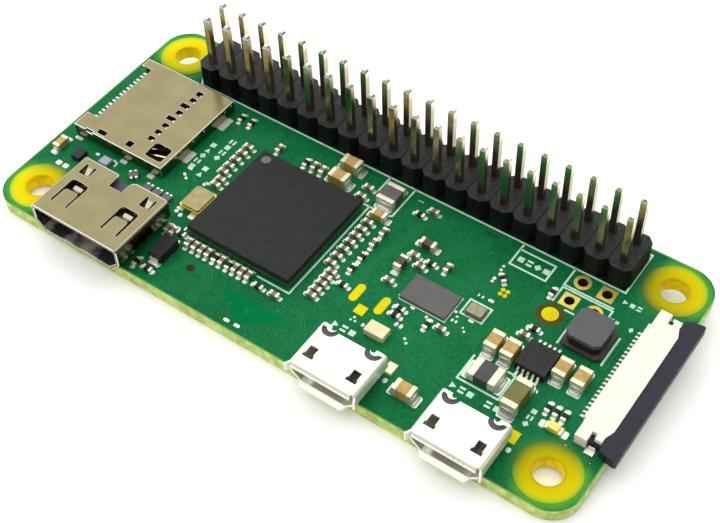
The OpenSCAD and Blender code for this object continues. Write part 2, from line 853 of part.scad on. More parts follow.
module status_light_ends() {
  color([0.9, 0.89, 0.8]) on_board() translate([59.8, 7.35, 0]) chip_ends(1.6, 0.8, 0.3, 0.3);
}

circuit_board();
mounting_lands();
service_lands();
bare_pads();
header_strip();
header_pins();
header_solder();
card_slot_cover();
card_slot_base();
card_slot_contacts();
card_detect_springs();
video_shell();
video_insulator();
video_contacts();
data_shell();
data_insulator();
data_contacts();
power_shell();
power_insulator();
power_contacts();
camera_housing();
camera_latch();
camera_contacts();
camera_anchors();
memory_package();
processor_package();
package_balls();
wireless_chip();
wireless_filter();
main_crystal_case();
main_crystal_lid();
wireless_crystal_case();
wireless_crystal_lid();
coil_core();
coil_winding();
coil_terminals();
power_chip();
power_chip_leads();
input_fuse();
input_fuse_ends();
bulk_capacitor();
bulk_capacitor_ends();
supply_capacitor();
supply_capacitor_ends();
large_capacitors();
large_capacitor_ends();
medium_capacitors();
medium_capacitor_ends();
small_capacitors();
small_capacitor_ends();
small_resistors();
small_resistor_ends();
load_switch();
diode_package();
diode_leads();
guard_arrays();
guard_array_ends();
status_light();
status_light_ends();
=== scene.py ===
"""Looks for the small single board computer: materials, print, pads, solder, tracks, light, camera."""
import math
import random

import bmesh
import bpy
from mathutils import Matrix, Vector


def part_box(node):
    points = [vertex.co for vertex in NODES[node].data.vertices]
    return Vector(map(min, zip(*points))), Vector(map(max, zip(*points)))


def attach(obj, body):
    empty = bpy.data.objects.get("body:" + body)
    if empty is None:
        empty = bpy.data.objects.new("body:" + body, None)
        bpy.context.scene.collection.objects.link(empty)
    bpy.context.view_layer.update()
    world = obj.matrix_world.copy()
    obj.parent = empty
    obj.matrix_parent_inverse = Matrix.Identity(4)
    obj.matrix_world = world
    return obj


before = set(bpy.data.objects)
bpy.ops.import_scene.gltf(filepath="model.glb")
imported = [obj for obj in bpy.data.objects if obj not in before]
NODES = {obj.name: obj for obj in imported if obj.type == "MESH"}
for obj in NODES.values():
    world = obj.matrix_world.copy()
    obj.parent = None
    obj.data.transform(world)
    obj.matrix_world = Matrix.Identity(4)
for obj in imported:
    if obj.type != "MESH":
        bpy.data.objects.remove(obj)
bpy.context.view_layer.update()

MM = 0.001
BOARD_L, BOARD_W, BOARD_T = 65.0, 30.0, 1.4
HOLE_X, HOLE_Y, LAND_R, HOLE_WALL_R = 29.0, 11.5, 3.0, 1.6
EDGE_GLOW_W = 0.14
FLOOR_TOP, SPRING_DROP, RIM_W = 2.0, 0.03, 0.3
PIN_W, SLOT_REFLECTION_X = 0.64, -15.2
PITCH, GROOVE_W = 2.54, 0.17
TAIL_L = 0.6
random.seed(7)


def place(x, y, z=0.0):
    """Millimetres from the board's front left corner and top face, as a point in the frame."""
    return Vector(((x - BOARD_L / 2) * MM, (y - BOARD_W / 2) * MM, (z + BOARD_T) * MM))


# ---- Materials ----

class Graph:
    """A material's node graph with one principled shader."""

    def __init__(self, name):
        self.mat = bpy.data.materials.new(name)
        self.mat.use_nodes = True
        self.tree = self.mat.node_tree
        self.tree.nodes.clear()
        self.shader = self.add("ShaderNodeBsdfPrincipled")
        out = self.add("ShaderNodeOutputMaterial")
        self.link(self.shader.outputs["BSDF"], out.inputs["Surface"])

    def add(self, kind, **settings):
        node = self.tree.nodes.new(kind)
        for key, value in settings.items():
            setattr(node, key, value)
        return node

    def link(self, a, b):
        self.tree.links.new(a, b)

    def coords(self):
        return self.add("ShaderNodeTexCoord").outputs["Object"]

    def noise(self, scale, detail=3.0, roughness=0.55):
        node = self.add("ShaderNodeTexNoise")
        node.inputs["Scale"].default_value = scale
        node.inputs["Detail"].default_value = detail
        node.inputs["Roughness"].default_value = roughness
        self.link(self.coords(), node.inputs["Vector"])
        return node.outputs["Fac"]

    def ramp(self, value, stops):
        node = self.add("ShaderNodeValToRGB")
        while len(node.color_ramp.elements) < len(stops):
            node.color_ramp.elements.new(0.5)
        for element, (where, colour) in zip(node.color_ramp.elements, stops):
            element.position = where
            element.color = (*colour, 1.0)
        self.link(value, node.inputs["Fac"])
        return node.outputs["Color"]

    def mix(self, factor, a, b):
        node = self.add("ShaderNodeMix", data_type="RGBA")
        self.link(factor, node.inputs["Factor"])
        self.link(a, node.inputs["A"])
        self.link(b, node.inputs["B"])
        return node.outputs["Result"]

    def colour(self, value):
        node = self.add("ShaderNodeRGB")
        node.outputs["Color"].default_value = (*value, 1.0)
        return node.outputs["Color"]

    def scale(self, colour, factor):
        node = self.add("ShaderNodeVectorMath", operation="SCALE")
        self.link(colour, node.inputs[0])
        self.link(factor, node.inputs["Scale"])
        return node.outputs["Vector"]

    def math(self, how, a, b):
        node = self.add("ShaderNodeMath", operation=how)
        for socket, value in zip(node.inputs, (a, b)):
            if isinstance(value, (int, float)):
                socket.default_value = value
            else:
                self.link(value, socket)
        return node.outputs["Value"]

    def bump(self, height, distance, strength=0.4):
        node = self.add("ShaderNodeBump")
        node.inputs["Strength"].default_value = strength
        node.inputs["Distance"].default_value = distance
        self.link(height, node.inputs["Height"])
        self.link(node.outputs["Normal"], self.shader.inputs["Normal"])
        return node

    def set(self, **values):
        for key, value in values.items():
            self.shader.inputs[key.replace("_", " ")].default_value = value


def shades(colour, spread):
    """The colour a little darker and a little lighter."""
    dark = tuple(c * (1 - spread) for c in colour)
    light = tuple(min(1.0, c * (1 + spread)) for c in colour)
    return dark, light


def paint_edge_highlight(g, colour, bevel_normal, light, amount):
    """Mixes a painted highlight colour in along the edges, where the rounded normal leaves the flat one."""
    flat = g.add("ShaderNodeNewGeometry").outputs["Normal"]
    dot = g.add("ShaderNodeVectorMath", operation="DOT_PRODUCT")
    g.link(flat, dot.inputs[0])
    g.link(bevel_normal, dot.inputs[1])
    edge = g.ramp(dot.outputs["Value"], [(0.88, (amount,) * 3), (0.99, (0.0,) * 3)])
    return g.mix(edge, colour, g.colour(light))


def round_edges(g, bump, radius, samples=6):
    """Rounds the shaded edges under the bump by a radius in millimetres; returns the rounded normal."""
    bevel = g.add("ShaderNodeBevel", samples=samples)
    bevel.inputs["Radius"].default_value = radius * MM
    g.link(bevel.outputs["Normal"], bump.inputs["Normal"])
    return bevel.outputs["Normal"]


def surface(name, colour, metallic=0.0, roughness=0.5, spread=0.12, scale=900.0, grain=0.012,
            rough_spread=0.08, edge=0.0, specular=0.3, apart=None):
    """A material with mottled colour, uneven gloss, fine grain and softly rounded edges.

    apart is a box seen from above, with the other colour that the pieces inside it have.
    """
    g = Graph(name)
    dark, light = shades(colour, spread)
    broad = g.noise(scale, 4.0)
    tint = g.ramp(broad, [(0.3, dark), (0.7, light)])
    if apart:
        box, other = apart
        dark, light = shades(other, spread)
        tint = g.mix(within(g, box), tint, g.ramp(broad, [(0.3, dark), (0.7, light)]))
    rough = g.noise(scale * 1.7, 2.0)
    low, high = roughness - rough_spread, roughness + rough_spread
    g.link(g.ramp(rough, [(0.3, (low,) * 3), (0.7, (high,) * 3)]), g.shader.inputs["Roughness"])
    bump = g.bump(g.noise(scale * 9, 2.0), grain * MM, 0.5)
    if edge:
        round_edges(g, bump, edge)
    g.link(tint, g.shader.inputs["Base Color"])
    g.set(Metallic=metallic, Specular_IOR_Level=specular)
    return g.mat


def within(g, box):
    """1 where the surface lies over a box seen from above, else 0."""
    low, high = box
    centre = (low + high) / 2
    half = (high - low) / 2
    offset = g.add("ShaderNodeVectorMath", operation="SUBTRACT")
    g.link(g.coords(), offset.inputs[0])
    offset.inputs[1].default_value = centre
    size = g.add("ShaderNodeVectorMath", operation="ABSOLUTE")
    g.link(offset.outputs["Vector"], size.inputs[0])
    inside_x, inside_y = (g.math("LESS_THAN", part_of(g, size.outputs["Vector"], axis), limit)
                          for axis, limit in (("X", half.x), ("Y", half.y)))
    return g.math("MULTIPLY", inside_x, inside_y)


def hole_offset(g):
    """Flat offset in metres from the nearest mounting hole's axis.

    Both its parts grow towards the board's corner.
    """
    fold = g.add("ShaderNodeVectorMath", operation="ABSOLUTE")
    g.link(g.coords(), fold.inputs[0])
    offset = g.add("ShaderNodeVectorMath", operation="SUBTRACT")
    g.link(fold.outputs["Vector"], offset.inputs[0])
    offset.inputs[1].default_value = (HOLE_X * MM, HOLE_Y * MM, 0)
    flat = g.add("ShaderNodeVectorMath", operation="MULTIPLY")
    g.link(offset.outputs["Vector"], flat.inputs[0])
    flat.inputs[1].default_value = (1, 1, 0)
    return flat.outputs["Vector"]


def hole_distance(g):
    """Distance in metres from the axis of the nearest mounting hole."""
    length = g.add("ShaderNodeVectorMath", operation="LENGTH")
    g.link(hole_offset(g), length.inputs[0])
    return length.outputs["Value"]


def cornerward(g):
    """How far a point of a land lies towards the board's corner: 0 inner side, 1 corner side."""
    dot = g.add("ShaderNodeVectorMath", operation="DOT_PRODUCT")
    g.link(hole_offset(g), dot.inputs[0])
    dot.inputs[1].default_value = (0.36 / (LAND_R * MM), 0.36 / (LAND_R * MM), 0)
    return g.math("ADD", dot.outputs["Value"], 0.5)


def part_of(g, vector, axis):
    """One of the three parts of a vector."""
    parts = g.add("ShaderNodeSeparateXYZ")
    g.link(vector, parts.inputs["Vector"])
    return parts.outputs[axis]


def coordinate(g, axis):
    """The place in the frame along one axis, in metres."""
    return part_of(g, g.coords(), axis)


def facing(g, axis):
    """How far the surface faces along one axis, from -1 to 1."""
    return part_of(g, g.add("ShaderNodeNewGeometry").outputs["Normal"], axis)


def mask_tint(g):
    """Solder mask colour: mottled green, paler round the corner lands and along the board's edges.

    It is darkened under the header strip: painted shade.
    """
    mask = g.ramp(g.noise(110.0, 5.0), [
        (0.25, (0.002, 0.110, 0.030)), (0.5, (0.004, 0.138, 0.040)), (0.75, (0.008, 0.165, 0.052)),
    ])
    fine = g.ramp(g.noise(3800.0, 2.0), [(0.38, (0.84,) * 3), (0.62, (1.16,) * 3)])
    mask = g.scale(mask, fine)
    out = g.math("DIVIDE", g.math("SUBTRACT", hole_distance(g), LAND_R * MM), MM)
    ring = g.ramp(out, [(0.0, (1.0,) * 3), (0.9, (0.0,) * 3)])
    side = g.ramp(cornerward(g), [(0.48, (0.25,) * 3), (0.66, (1.0,) * 3)])
    mask = g.mix(g.math("MULTIPLY", ring, side), mask, g.colour((0.085, 0.34, 0.034)))
    near_x = g.math("GREATER_THAN", g.math("ABSOLUTE", coordinate(g, "X"), 0.0),
                    (BOARD_L / 2 - EDGE_GLOW_W) * MM)
    near_y = g.math("GREATER_THAN", g.math("ABSOLUTE", coordinate(g, "Y"), 0.0),
                    (BOARD_W / 2 - EDGE_GLOW_W) * MM)
    mask = g.mix(g.math("MAXIMUM", near_x, near_y), mask, g.colour((0.15, 0.36, 0.09)))
    # Painted shade: the mask under the header strip is darkened.
    return g.mix(within(g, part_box("header_strip")), mask, g.colour((0.001, 0.022, 0.008)))


def board_material():
    """Green solder mask over laminate on the two faces, bare laminate on the edges and in the holes, plated
    walls in the mounting holes, and painted shade that turns the service holes' walls dark brown.
    """
    g = Graph("solder_mask")
    layers = g.noise(1500.0, 3.0)
    laminate = g.ramp(layers, [(0.35, (0.45, 0.56, 0.13)), (0.65, (0.71, 0.82, 0.29))])
    plated = g.ramp(layers, [(0.35, (0.78, 0.60, 0.002)), (0.65, (0.96, 0.80, 0.006))])
    # Dark brown for the service holes' walls: painted shade inside the holes.
    brown = g.ramp(layers, [(0.35, (0.035, 0.017, 0.004)), (0.65, (0.075, 0.036, 0.008))])
    wall = g.mix(g.math("LESS_THAN", hole_distance(g), HOLE_WALL_R * MM), laminate, plated)
    wall = g.mix(within(g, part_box("service_lands")), wall, brown)
    flat = g.math("GREATER_THAN", g.math("ABSOLUTE", facing(g, "Z"), 0.0), 0.6)
    g.link(g.mix(flat, wall, mask_tint(g)), g.shader.inputs["Base Color"])
    rough = g.ramp(g.noise(700.0), [(0.3, (0.34,) * 3), (0.7, (0.46,) * 3)])
    g.link(rough, g.shader.inputs["Roughness"])
    weave = g.math("ADD", g.noise(2600.0, 2.0), g.math("MULTIPLY", g.noise(420.0, 4.0), 1.5))
    g.bump(weave, 0.02 * MM, 0.5)
    g.set(Specular_IOR_Level=0.05)
    return g.mat


def land_material():
    """Gold plated rings round the mounting holes, dull at the rim, with painted shading: brighter on the
    corner side and towards the board's left.
    """
    g = Graph("gold_land")
    reach = g.math("DIVIDE", hole_distance(g), LAND_R * MM)
    cloud = g.math("MULTIPLY", g.math("SUBTRACT", g.noise(160.0, 3.0), 0.5), 0.14)
    place_on_ring = g.math("ADD", reach, cloud)
    # Painted shading: the corner side of each ring is lighter than its inner side.
    corner_side_lit = g.ramp(place_on_ring, [
        (0.46, (0.54, 0.40, 0.003)), (0.54, (0.66, 0.54, 0.001)), (0.78, (0.69, 0.58, 0.001)),
        (0.90, (0.50, 0.57, 0.014)), (1.0, (0.27, 0.45, 0.028)),
    ])
    inner_side_shaded = g.ramp(place_on_ring, [
        (0.46, (0.46, 0.35, 0.003)), (0.56, (0.50, 0.43, 0.001)), (0.74, (0.40, 0.36, 0.002)),
        (0.88, (0.21, 0.26, 0.022)), (1.0, (0.10, 0.17, 0.040)),
    ])
    side = g.ramp(cornerward(g), [(0.22, (0.0,) * 3), (0.75, (1.0,) * 3)])
    tint = g.mix(side, inner_side_shaded, corner_side_lit)
    # Painted light: the rings grow brighter towards the board's left.
    painted_light_across = g.math("DIVIDE", coordinate(g, "X"), -BOARD_L * 4.5 * MM)
    tint = g.scale(tint, g.math("ADD", painted_light_across, 1.0))
    g.link(tint, g.shader.inputs["Base Color"])
    rings = g.math("SINE", g.math("MULTIPLY", reach, 70.0), 0.0)
    g.bump(rings, 0.003 * MM, 0.5)
    rough = g.ramp(g.noise(400.0), [(0.3, (0.34,) * 3), (0.7, (0.46,) * 3)])
    g.link(rough, g.shader.inputs["Roughness"])
    g.set(Specular_IOR_Level=0.02)
    return g.mat


def strip_material():
    """Black header plastic, lighter where it faces up as painted light, with painted shade darkening the
    groove between its cells.
    """
    g = Graph("strip_black")
    side = g.ramp(g.noise(700.0, 4.0), [(0.3, (0.004, 0.004, 0.005)), (0.7, (0.008, 0.008, 0.009))])
    # Upward faces get a lighter colour: painted light on the tops.
    lit_tops = g.ramp(g.noise(2600.0, 5.0), [(0.3, (0.012, 0.012, 0.013)), (0.7, (0.036, 0.036, 0.036))])
    from_end = g.math("SUBTRACT", coordinate(g, "X"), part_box("header_strip")[0].x)
    from_joint = g.math("PINGPONG", from_end, PITCH / 2 * MM)
    groove = g.math("LESS_THAN", from_joint, GROOVE_W / 2 * MM)
    # Painted shade in the groove between the cells.
    lit_tops = g.mix(groove, lit_tops, g.colour((0.0015, 0.0015, 0.002)))
    up = g.math("GREATER_THAN", facing(g, "Z"), 0.6)
    g.link(g.mix(up, side, lit_tops), g.shader.inputs["Base Color"])
    rough = g.ramp(g.noise(900.0), [(0.3, (0.40,) * 3), (0.7, (0.54,) * 3)])
    g.link(rough, g.shader.inputs["Roughness"])
    round_edges(g, g.bump(g.noise(6000.0, 2.0), 0.03 * MM, 0.5), 0.08)
    g.set(Specular_IOR_Level=0.16)
    return g.mat


def pin_material():
    """Gold plated pins with painted light: a painted highlight on the tips, painted shade down the shaft,
    and a painted reflection of the card slot's cover on the pins beside it.
    """
    g = Graph("pin_gold")
    low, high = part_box("header_pins")
    rise = g.math("DIVIDE", g.math("SUBTRACT", coordinate(g, "Z"), low.z), high.z - low.z)
    height = g.math("ADD", rise, g.math("MULTIPLY", g.math("SUBTRACT", g.noise(700.0), 0.5), 0.08))
    # Painted light by height: bright tips and darker shafts.
    tint = g.ramp(height, [
        (0.30, (0.24, 0.20, 0.12)), (0.70, (0.38, 0.32, 0.20)), (0.90, (0.58, 0.50, 0.32)),
        (0.96, (1.0, 0.95, 0.76)),
    ])
    # Painted reflection: pins beside the card slot are brightened in streaks.
    beside_slot = g.math("LESS_THAN", coordinate(g, "X"), SLOT_REFLECTION_X * MM)
    slot_reflection = g.math("ADD", g.noise(1300.0, 2.0), 1.2)
    tint = g.mix(beside_slot, tint, g.scale(tint, slot_reflection))
    rounded = round_edges(g, g.bump(g.noise(4000.0), 0.003 * MM, 0.3), 0.07)
    # Painted highlight along the pins' edges.
    tint = paint_edge_highlight(g, tint, rounded, (0.98, 0.92, 0.70), 0.7)
    g.link(tint, g.shader.inputs["Base Color"])
    g.set(Metallic=1.0, Roughness=0.2)
    return g.mat


def inner_part(g, nodes):
    """1 over the middle of any of the nodes seen from above, 0 near their outer edges."""
    rim = Vector((RIM_W * MM, RIM_W * MM, 0))
    total = 0.0
    for node in nodes:
        low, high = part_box(node)
        total = g.math("ADD", within(g, (low + rim, high - rim)), total)
    return total


def paint_socket_light(g, lit, metallic):
    """Paints mottled reflections and less metal onto the video socket's floor, which lies below FLOOR_TOP,
    and a painted highlight onto its bent springs.
    """
    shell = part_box("video_shell")
    upward = g.math("MULTIPLY", within(g, shell), g.math("GREATER_THAN", facing(g, "Z"), 0.3))
    height = coordinate(g, "Z")
    inside = g.math("MULTIPLY", upward, g.math("LESS_THAN", height, FLOOR_TOP * MM))
    # Mottled light and dark patches on the socket's floor: painted reflections.
    painted_floor_reflections = g.ramp(g.noise(450.0, 2.0), [(0.42, (0.05, 0.048, 0.055)), (0.62, (0.62, 0.55, 0.46))])
    g.link(g.math("SUBTRACT", metallic, g.math("MULTIPLY", inside, 0.6)), g.shader.inputs["Metallic"])
    # The bent springs get a lighter colour: painted highlight.
    sunk = g.math("SUBTRACT", g.math("LESS_THAN", height, shell[1].z - SPRING_DROP * MM), inside)
    springs = g.math("MULTIPLY", sunk, upward)
    return g.mix(springs, g.mix(inside, lit, painted_floor_reflections), g.colour((0.40, 0.37, 0.26)))


def stamped_metal(name, colour, roughness, metallic=1.0, edge=0.2, quiet=(), with_socket_paint=False):
    """Plated sheet steel: mottled plating, faint rolling lines and a painted highlight along its edges.

    quiet names the nodes whose slots and windows get a fainter painted edge highlight than their outlines.
    If with_socket_paint, the video socket's floor gets mottled painted reflections and its bent springs a
    painted highlight.
    """
    g = Graph(name)
    stretch = g.add("ShaderNodeMapping")
    stretch.inputs["Scale"].default_value = (900.0, 60.0, 900.0)
    g.link(g.coords(), stretch.inputs["Vector"])
    lines = g.add("ShaderNodeTexNoise")
    lines.inputs["Scale"].default_value = 4.0
    g.link(stretch.outputs["Vector"], lines.inputs["Vector"])
    dark, light = shades(colour, 0.10)
    tint = g.ramp(g.noise(420.0, 6.0), [(0.3, dark), (0.7, light)])
    low, high = roughness - 0.03, roughness + 0.05
    g.link(g.ramp(lines.outputs["Fac"], [(0.3, (low,) * 3), (0.7, (high,) * 3)]),
           g.shader.inputs["Roughness"])
    rounded = round_edges(g, g.bump(g.noise(2400.0), 0.004 * MM, 0.25), edge, samples=8)
    # Painted highlight along the rounded edges of the sheet.
    lit = paint_edge_highlight(g, tint, rounded, (1.0, 0.98, 0.90), 1.0)
    if quiet:
        lit = g.mix(g.math("MULTIPLY", inner_part(g, quiet), 0.7), lit, tint)
    g.set(Metallic=metallic)
    if with_socket_paint:
        lit = paint_socket_light(g, lit, metallic)
    g.link(lit, g.shader.inputs["Base Color"])
    return g.mat


def tail_material():
    """Tinned tails of the camera connector: light at their ends, with painted shade turning them dark brown
    close to the housing.
    """
    g = Graph("tail_tin")
    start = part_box("camera_contacts")[0].x
    along = g.math("DIVIDE", g.math("SUBTRACT", coordinate(g, "X"), start), TAIL_L * MM)
    along = g.math("ADD", along, g.math("MULTIPLY", g.math("SUBTRACT", g.noise(900.0), 0.5), 0.2))
    # Painted shade: the tails darken to brown towards the housing.
    tint = g.ramp(along, [(0.40, (0.62, 0.66, 0.54)), (0.62, (0.26, 0.22, 0.15)),
                          (0.85, (0.10, 0.08, 0.055))])
    g.link(tint, g.shader.inputs["Base Color"])
    g.bump(g.noise(3000.0), 0.01 * MM, 0.4)
    g.set(Metallic=0.3, Roughness=0.4)
    return g.mat


def ferrite_material():
    """Grey sintered ferrite, browner on the foot of the coil."""
    g = Graph("ferrite")
    grain = g.noise(1200.0, 4.0)
    top = g.ramp(grain, [(0.3, (0.077, 0.083, 0.080)), (0.7, (0.095, 0.102, 0.098))])
    foot = g.ramp(grain, [(0.3, (0.040, 0.031, 0.027)), (0.7, (0.066, 0.052, 0.045))])
    low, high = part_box("coil_core")
    above = g.math("GREATER_THAN", coordinate(g, "Z"), (low.z + high.z) / 2)
    round_edges(g, g.bump(g.noise(9000.0, 2.0), 0.04 * MM, 0.5), 0.12)
    g.link(g.mix(above, foot, top), g.shader.inputs["Base Color"])
    g.set(Roughness=0.5, Specular_IOR_Level=0.3)
    return g.mat


def make_materials():
    """One material for each finish that the object has."""
    dark_chips = (place(38.0, 13.8), place(41.2, 19.0)), (0.075, 0.058, 0.042)
    pale_array = (place(6.0, 8.9), place(7.7, 10.2)), (0.33, 0.35, 0.44)
    power_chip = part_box("power_chip"), (0.022, 0.026, 0.022)
    return {
        "solder_mask": board_material(),
        "gold_land": land_material(),
        "gold_pad": surface("gold_pad", (0.70, 0.60, 0.004), 0, 0.4, 0.10, 500, 0.01, specular=0.04),
        "service_gold": surface("service_gold", (0.66, 0.54, 0.10), 0.5, 0.32, 0.15, 700, 0.01),
        "pin_gold": pin_material(),
        "contact_gold": surface("contact_gold", (0.85, 0.70, 0.34), 1.0, 0.24, 0.1, 900, 0.004),
        "strip_black": strip_material(),
        "base_black": surface("base_black", (0.010, 0.010, 0.011), 0, 0.5, 0.25, 800, 0.02,
                              specular=0.12),
        "port_grey": surface("port_grey", (0.085, 0.080, 0.092), 0, 0.5, 0.2, 1800, 0.02),
        "insulator_grey": surface("insulator_grey", (0.055, 0.055, 0.075), 0, 0.5, 0.2, 800, 0.02),
        "solder": surface("solder", (0.70, 0.71, 0.66), 0.75, 0.36, 0.15, 1200, 0.03, 0.1, 0.04),
        "satin_steel": stamped_metal("satin_steel", (0.218, 0.189, 0.100), 0.17,
                                     quiet=("video_shell", "card_slot_cover"), with_socket_paint=True),
        "bright_steel": stamped_metal("bright_steel", (0.95, 0.92, 0.77), 0.30, 0.6, 0.1),
        "housing_cream": surface("housing_cream", (0.84, 0.81, 0.69), 0, 0.45, 0.03, 600, 0.01, 0.08,
                                 0.05),
        "latch_plastic": surface("latch_plastic", (0.014, 0.014, 0.027), 0, 0.45, 0.25, 1400, 0.04, 0.1,
                                 0.06, specular=0.25),
        "moulded_resin": surface("moulded_resin", (0.015, 0.017, 0.0155), 0, 0.5, 0.2, 1600, 0.05,
                                 0.06, 0.05, specular=0.16, apart=power_chip),
        "carrier_green": surface("carrier_green", (0.03, 0.09, 0.04), 0, 0.45, 0.2, 600, 0.02, 0.08,
                                 0.03),
        "grey_resin": surface("grey_resin", (0.098, 0.098, 0.094), 0, 0.45, 0.1, 1200, 0.02, 0.08, 0.04),
        "white_ceramic": surface("white_ceramic", (0.76, 0.68, 0.40), 0, 0.42, 0.12, 700, 0.01, 0.08,
                                 0.06),
        "crystal_gold": surface("crystal_gold", (0.62, 0.47, 0.09), 0.8, 0.3, 0.1, 700, 0.01, 0.08,
                                0.05),
        "crystal_lid": surface("crystal_lid", (0.28, 0.24, 0.115), 0.9, 0.34, 0.14, 1500, 0.02, 0.08,
                               0.05),
        "small_case": surface("small_case", (0.16, 0.13, 0.08), 0, 0.4, 0.1, 700, 0.01, 0.08, 0.04),
        "small_lid": surface("small_lid", (0.26, 0.25, 0.15), 0.6, 0.36, 0.2, 1800, 0.02, 0.08, 0.04),
        "ferrite": ferrite_material(),
        "tail_tin": tail_material(),
        "winding": surface("winding", (0.020, 0.012, 0.009), 0, 0.4, 0.3, 1500, 0.05),
        "tinned": surface("tinned", (0.80, 0.78, 0.66), 0.75, 0.36, 0.12, 1500, 0.02, 0.1, 0.06),
        "cream_end": surface("cream_end", (0.76, 0.70, 0.48), 0.6, 0.40, 0.12, 1500, 0.02, 0.1, 0.09),
        "fuse_grey": surface("fuse_grey", (0.058, 0.058, 0.064), 0, 0.45, 0.12, 800, 0.02, 0.1, 0.06),
        "fuse_end": surface("fuse_end", (0.76, 0.71, 0.53), 0.5, 0.40, 0.10, 900, 0.02, 0.1, 0.20),
        "olive_ceramic": surface("olive_ceramic", (0.160, 0.142, 0.034), 0, 0.42, 0.14, 1500, 0.02, 0.1,
                                 0.08),
        "grey_ceramic": surface("grey_ceramic", (0.105, 0.100, 0.110), 0, 0.42, 0.12, 800, 0.015, 0.1,
                                0.06, apart=pale_array),
        "tan_ceramic": surface("tan_ceramic", (0.46, 0.30, 0.085), 0, 0.4, 0.20, 1500, 0.02, 0.1, 0.08,
                               apart=dark_chips),
        "small_ceramic": surface("small_ceramic", (0.20, 0.145, 0.075), 0, 0.4, 0.25, 1500, 0.015, 0.1,
                                 0.05),
        "resistor_black": surface("resistor_black", (0.010, 0.009, 0.009), 0, 0.35, 0.3, 1500, 0.01,
                                  specular=0.2),
        "amber_resin": surface("amber_resin", (0.80, 0.70, 0.14), 0, 0.22, 0.05, 900, 0.005, 0.05, 0.05,
                               specular=0.4),
        "print_white": surface("print_white", (0.52, 0.76, 0.60), 0, 0.55, 0.12, 2500, 0.02),
        "mask_track": surface("mask_track", (0.009, 0.165, 0.055), 0, 0.40, 0.12, 300, 0.01,
                              specular=0.05),
        "mask_patch": surface("mask_patch", (0.000, 0.155, 0.048), 0, 0.42, 0.06, 300, 0.01,
                              specular=0.01),
        "pad_tin": surface("pad_tin", (0.66, 0.74, 0.64), 0.45, 0.34, 0.12, 1500, 0.02),
        "bare_laminate": surface("bare_laminate", (0.072, 0.060, 0.012), 0, 0.5, 0.25, 900, 0.02,
                                 specular=0.08),
        "dot_grey": surface("dot_grey", (0.135, 0.135, 0.115), 0, 0.5, 0.1, 1200, 0.02),
        "hole_brown": surface("hole_brown", (0.035, 0.020, 0.004), 0, 0.6, 0.3, 1500, 0.02,
                              specular=0.1),
    }


NODE_FINISH = {
    "circuit_board": "solder_mask", "mounting_lands": "gold_land", "service_lands": "service_gold",
    "bare_pads": "gold_pad", "header_strip": "strip_black", "header_pins": "pin_gold",
    "header_solder": "solder", "card_slot_cover": "satin_steel", "card_slot_base": "base_black",
    "card_slot_contacts": "contact_gold", "card_detect_springs": "contact_gold",
    "video_shell": "satin_steel", "video_insulator": "insulator_grey",
    "video_contacts": "contact_gold", "data_shell": "bright_steel", "power_shell": "bright_steel",
    "data_insulator": "port_grey", "power_insulator": "port_grey",
    "data_contacts": "contact_gold", "power_contacts": "contact_gold",
    "camera_housing": "housing_cream", "camera_latch": "latch_plastic",
    "camera_contacts": "tail_tin", "camera_anchors": "tinned", "memory_package": "moulded_resin",
    "processor_package": "carrier_green", "package_balls": "solder", "wireless_chip": "grey_resin",
    "wireless_filter": "white_ceramic", "main_crystal_case": "crystal_gold",
    "main_crystal_lid": "crystal_lid", "wireless_crystal_case": "small_case",
    "wireless_crystal_lid": "small_lid", "coil_core": "ferrite", "coil_winding": "winding",
    "coil_terminals": "solder", "power_chip": "moulded_resin", "power_chip_leads": "tinned",
    "input_fuse": "fuse_grey", "input_fuse_ends": "fuse_end", "bulk_capacitor": "olive_ceramic",
    "bulk_capacitor_ends": "cream_end", "supply_capacitor": "grey_ceramic",
    "supply_capacitor_ends": "fuse_end", "large_capacitors": "tan_ceramic",
    "large_capacitor_ends": "cream_end", "medium_capacitors": "tan_ceramic",
    "medium_capacitor_ends": "cream_end", "small_capacitors": "small_ceramic",
    "small_capacitor_ends": "tinned", "small_resistors": "resistor_black",
    "small_resistor_ends": "tinned", "load_switch": "latch_plastic",
    "diode_package": "moulded_resin", "diode_leads": "tinned", "guard_arrays": "grey_ceramic",
    "guard_array_ends": "tinned", "status_light": "amber_resin", "status_light_ends": "cream_end",
}


def finish_nodes(finishes):
    """Gives every CAD node its material."""
    for node, finish in NODE_FINISH.items():
        data = NODES[node].data
        data.materials.clear()
        data.materials.append(finishes[finish])


# ---- Piece building ----

def add_piece(name, bm, material, body="board", smooth=False):
    """Turns a built mesh into a named piece that rides on a body."""
    bmesh.ops.recalc_face_normals(bm, faces=bm.faces)
    data = bpy.data.meshes.new(name)
    bm.to_mesh(data)
    bm.free()
    for face in data.polygons:
        face.use_smooth = smooth
    obj = bpy.data.objects.new(name, data)
    bpy.context.scene.collection.objects.link(obj)
    data.materials.append(material)
    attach(obj, body)
    return obj


def add_plate(bm, outline, z, thick):
    """A flat plate with a slightly smaller top, from an outline in board millimetres."""
    middle = sum((Vector(p) for p in outline), Vector((0, 0))) / len(outline)
    inset = min(0.02, thick)
    top = []
    for p in outline:
        away = Vector(p) - middle
        pull = away.normalized() * inset if away.length > inset else Vector((0, 0))
        top.append(bm.verts.new(place(*(Vector(p) - pull), z + thick)))
    low = [bm.verts.new(place(*p, z)) for p in outline]
    bm.faces.new(top)
    for i in range(len(outline)):
        j = (i + 1) % len(outline)
        bm.faces.new((low[i], low[j], top[j], top[i]))
    bm.faces.new(list(reversed(low)))


